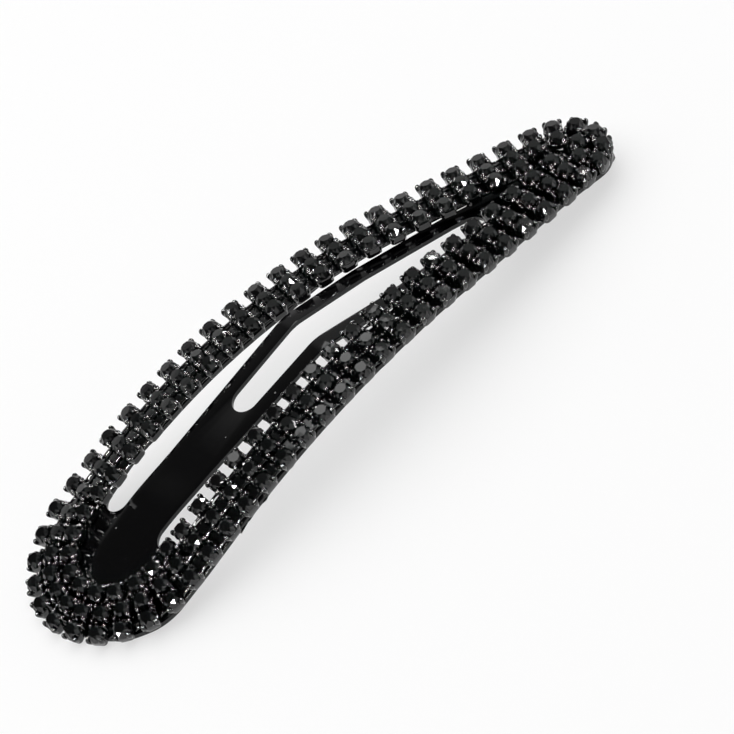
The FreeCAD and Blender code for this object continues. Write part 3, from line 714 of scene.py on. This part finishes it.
def round_bends(work):
    """Rounds the folds that run straight across the sheet."""
    low, high = (math.radians(angle) for angle in BEND_ANGLES)
    folds = [e for e in work.edges if len(e.link_faces) == 2
             and low < e.calc_face_angle(0) < high
             and abs(e.verts[0].co.x - e.verts[1].co.x) < BEND_SKEW * MM]
    bmesh.ops.bevel(work, geom=folds, offset=BEND_SIZE * MM, segments=BEND_STEPS, profile=0.5,
                    affect="EDGES", clamp_overlap=True)


def at_root(vertex):
    return abs(vertex.co.x - ROOT_X) < ROOT_NEAR * MM and abs(vertex.co.y) < ROOT_HALF_WIDTH * MM


def round_edges(work):
    """Rounds the sheet's edges, but not those where the tongue and the plate meet."""
    edges = [e for e in work.edges if len(e.link_faces) == 2
             and e.calc_face_angle(0) > math.radians(EDGE_ANGLE)
             and not all(at_root(v) for v in e.verts)]
    bmesh.ops.bevel(work, geom=edges, offset=EDGE_RADIUS * MM, segments=EDGE_STEPS, profile=0.5,
                    affect="EDGES", clamp_overlap=True)


def cut(work, point, normal):
    everything = work.verts[:] + work.edges[:] + work.faces[:]
    bmesh.ops.bisect_plane(work, geom=everything, plane_co=point, plane_no=normal)


def shape_root(work):
    """Leads the tongue smoothly out of the tail plate and moves the start of its fork."""
    for vertex in work.verts:
        along = (vertex.co.x - ROOT_X) / MM
        if along < ROOT_LENGTH:
            share = 1 - along / ROOT_LENGTH
            fall = PLATE_CAMBER * (vertex.co.y / MM) ** 2 * (3 - 2 * share)
            vertex.co.z += (SLOPE_CHANGE * along - fall) * share ** 2 * MM
        if along < ROOT_FACE:
            vertex.co.x -= ROOT_OVERLAP * MM
            vertex.co.z -= ROOT_DROP * MM
        elif FORK_START[0] < along < FORK_START[1] and abs(vertex.co.y) < FORK_HALF_WIDTH * MM:
            vertex.co.x += FORK_SHIFT * MM
            vertex.co.z += FORK_SHIFT * TONGUE_SLOPE * MM


def finish_piece(node, work):
    """The worked mesh as the object that stands for a node."""
    bmesh.ops.triangulate(work, faces=[f for f in work.faces if len(f.verts) > 4])
    mesh = bpy.data.meshes.new(f"{node}_shown")
    work.to_mesh(mesh)
    work.free()
    mesh.materials.clear()
    mesh.materials.append(SHEET)
    for face in mesh.polygons:
        face.use_smooth = True
        face.material_index = 0
    mesh.set_sharp_from_angle(angle=math.radians(SHARP_ANGLE))
    mesh.update()
    return show(f"{node}_shown", mesh)


frame_work = solid_mesh("spring_frame")
shift_rims(frame_work)
round_edges(frame_work)
frame_piece = finish_piece("spring_frame", frame_work)
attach(frame_piece, "frame")
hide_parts("spring_frame")

tongue_work = solid_mesh("spring_tongue")
round_bends(tongue_work)
round_edges(tongue_work)
for k in range(1, BLEND_CUTS + 1):
    cut(tongue_work, (ROOT_X + BLEND_LENGTH * MM * k / BLEND_CUTS, 0, 0), (1, 0, 0))
for across in ACROSS_CUTS:
    cut(tongue_work, (0, across * MM, 0), (0, 1, 0))
shape_root(tongue_work)
tongue_piece = finish_piece("spring_tongue", tongue_work)
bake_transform(tongue_piece)
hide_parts("spring_tongue")


# ---------------------------------------------------------------------------------------------
# Floor and light
# ---------------------------------------------------------------------------------------------

FLOOR_REACH = 3.0          # metres
FLOOR_WHITE = 0.95
FLOOR_GLOW = 0.6           # share of plain white in what the camera and reflections see
# the room's light by direction, as the level at each end and the X or Z where each end starts
CEILING_LEVELS, CEILING_X = (0.08, 0.4), (-0.1, 0.2)   # dark behind the tail, grey past the nose
WALL_LEVEL, WALL_Z = 0.95, (0.33, 0.5)                 # pale low down, the ceiling's level above


def lay_floor(level):
    """Pale matt paper that keeps the clip's shadow."""
    mesh = bpy.data.meshes.new("floor")
    corners = [(-1, -1), (1, -1), (1, 1), (-1, 1)]
    mesh.from_pydata([(x * FLOOR_REACH, y * FLOOR_REACH, level) for x, y in corners], [], [(0, 1, 2, 3)])
    paper = new_material("floor_paper")
    matt = paper.node("ShaderNodeBsdfDiffuse")
    matt.inputs["Color"].default_value = (FLOOR_WHITE, FLOOR_WHITE, FLOOR_WHITE, 1.0)
    glow = paper.node("ShaderNodeEmission")
    glow.inputs["Strength"].default_value = 1.0
    path = paper.node("ShaderNodeLightPath").outputs
    seen = paper.math("MAXIMUM", path["Is Camera Ray"], path["Is Glossy Ray"])
    seen = paper.math("MAXIMUM", seen, path["Is Transmission Ray"])
    blend = paper.node("ShaderNodeMixShader")
    paper.link(paper.math("MULTIPLY", seen, FLOOR_GLOW), blend.inputs[0])
    paper.link(matt.outputs[0], blend.inputs[1])
    paper.link(glow.outputs[0], blend.inputs[2])
    paper.link(blend.outputs[0], paper.output.inputs["Surface"])
    mesh.materials.append(paper.owner)
    return show("floor", mesh)


def light_room():
    """Even room with a darker ceiling, which the stones' tables and the sheet reflect."""
    world = bpy.data.worlds.new("studio")
    bpy.context.scene.world = world
    room = Nodes(world, "ShaderNodeOutputWorld")
    background = room.node("ShaderNodeBackground")
    direction = room.node("ShaderNodeSeparateXYZ")
    room.link(room.node("ShaderNodeTexCoord").outputs["Generated"], direction.inputs[0])
    ceiling = room.spread(direction.outputs["X"], *CEILING_LEVELS, *CEILING_X, smooth=True)
    level = room.spread(direction.outputs["Z"], WALL_LEVEL, ceiling, *WALL_Z, smooth=True)
    room.link(level, background.inputs["Strength"])
    room.link(background.outputs[0], room.output.inputs["Surface"])


def lamp(name, toward, distance, size, radiance, glossy=True, diffuse=True, breadth=None, turn=0.0):
    """Soft lamp that shines on the clip from a direction; radiance 1 reads as white."""
    data = bpy.data.lights.new(name, "AREA")
    data.shape = "RECTANGLE"
    data.size = size
    data.size_y = breadth or size
    data.energy = radiance * math.pi * data.size * data.size_y
    made = show(name, data)
    direction = Vector(toward).normalized()
    spin = Quaternion((0, 0, 1), math.radians(turn))
    made.location = direction * distance
    made.rotation_mode = "QUATERNION"
    made.rotation_quaternion = direction.to_track_quat("Z", "Y") @ spin
    made.visible_glossy = glossy
    made.visible_diffuse = diffuse
    made.visible_camera = False


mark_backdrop(lay_floor(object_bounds()[0].z))
light_room()
# a dim panel for the grey tables, small bright lamps for the glints, and one wide soft light
lamp("panel", (0.2, 0.45, 0.86), 0.7, 0.32, 2.2, diffuse=False, breadth=0.14, turn=50)
lamp("key", (0.62, 0.35, 0.75), 0.9, 0.1, 420.0, diffuse=False)
lamp("left_lamp", (-0.55, 0.25, 0.8), 0.9, 0.09, 380.0, diffuse=False)
lamp("far_lamp", (-0.9, -0.1, 0.5), 0.9, 0.09, 380.0, diffuse=False)
lamp("near_lamp", (0.75, -0.5, 0.6), 0.9, 0.09, 380.0, diffuse=False)
lamp("front_lamp", (-0.35, -0.75, 0.85), 0.9, 0.1, 340.0, diffuse=False)
lamp("overhead", (-0.1, 0.3, 0.95), 1.0, 1.9, 1.45, glossy=False)


# ---------------------------------------------------------------------------------------------
# Camera
# ---------------------------------------------------------------------------------------------

CAMERA_LENS = 366.2
CAMERA_RIGHT = Vector((0.7314, -0.5798, -0.359))
CAMERA_ABOVE = Vector((0.6422, 0.4083, 0.6488))
CAMERA_TOWARD = Vector((-0.2296, -0.705, 0.671))       # from the clip to the camera
CAMERA_AIM = Vector((-0.488, 0.0, 10.871))
CAMERA_DISTANCE = 801.4
CAMERA_SHIFT = (7.582, -4.271)                         # right and above

camera_data = bpy.data.cameras.new("camera")
camera_data.lens = CAMERA_LENS
camera_data.sensor_width = 36.0
camera_data.clip_start = 0.05
camera_data.clip_end = 20.0
camera = show("camera", camera_data)
place = (CAMERA_AIM + CAMERA_TOWARD * CAMERA_DISTANCE + CAMERA_RIGHT * CAMERA_SHIFT[0]
         + CAMERA_ABOVE * CAMERA_SHIFT[1]) * MM
back = CAMERA_TOWARD.normalized()
side = (CAMERA_RIGHT - back * CAMERA_RIGHT.dot(back)).normalized()
turned = Matrix((side, back.cross(side), back)).transposed().to_4x4()
camera.matrix_world = Matrix.Translation(place) @ turned
bpy.context.scene.camera = camera
bpy.context.scene.view_settings.view_transform = "Standard"
